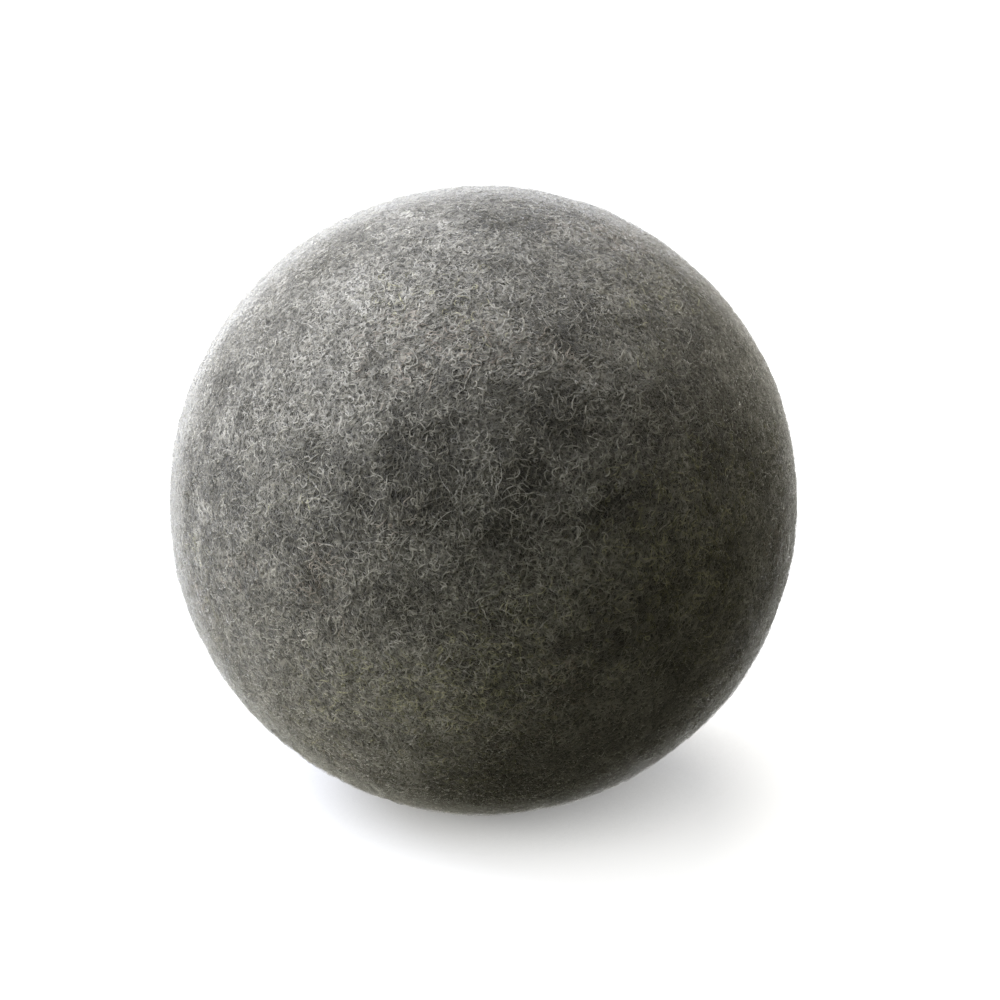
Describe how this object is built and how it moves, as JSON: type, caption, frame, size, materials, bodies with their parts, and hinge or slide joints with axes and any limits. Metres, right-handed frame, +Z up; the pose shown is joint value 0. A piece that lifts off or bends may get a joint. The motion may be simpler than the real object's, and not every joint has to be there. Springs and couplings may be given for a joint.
{
  "type": "dryer ball",
  "caption": "Felted wool ball that tumbles with laundry, layered from a wound core to a felt skin, with a small flat to rest on.",
  "frame": {"origin": "centre of the flat that the ball rests on", "axes": "+Z up, through the ball's centre; +X and +Y are free, because the ball is round"},
  "size_m": [0.07, 0.07, 0.0697],
  "materials": {
    "raw_wool": "loose crumpled wool",
    "wool_yarn": "wound wool yarn",
    "inner_roving": "carded wool roving",
    "middle_roving": "carded wool roving",
    "outer_roving": "carded wool roving",
    "grey_felt": "matted wool felt, mottled greys with pale and olive wisps"
  },
  "bodies": {
    "root": {"core_wad": "raw_wool", "yarn_winding": "wool_yarn", "inner_wrap_1": "inner_roving", "inner_wrap_2": "inner_roving", "inner_wrap_3": "inner_roving", "middle_wrap_1": "middle_roving", "middle_wrap_2": "middle_roving", "middle_wrap_3": "middle_roving", "outer_wrap_1": "outer_roving", "outer_wrap_2": "outer_roving", "outer_wrap_3": "outer_roving", "felt_skin": "grey_felt"}
  },
  "joints": []
}
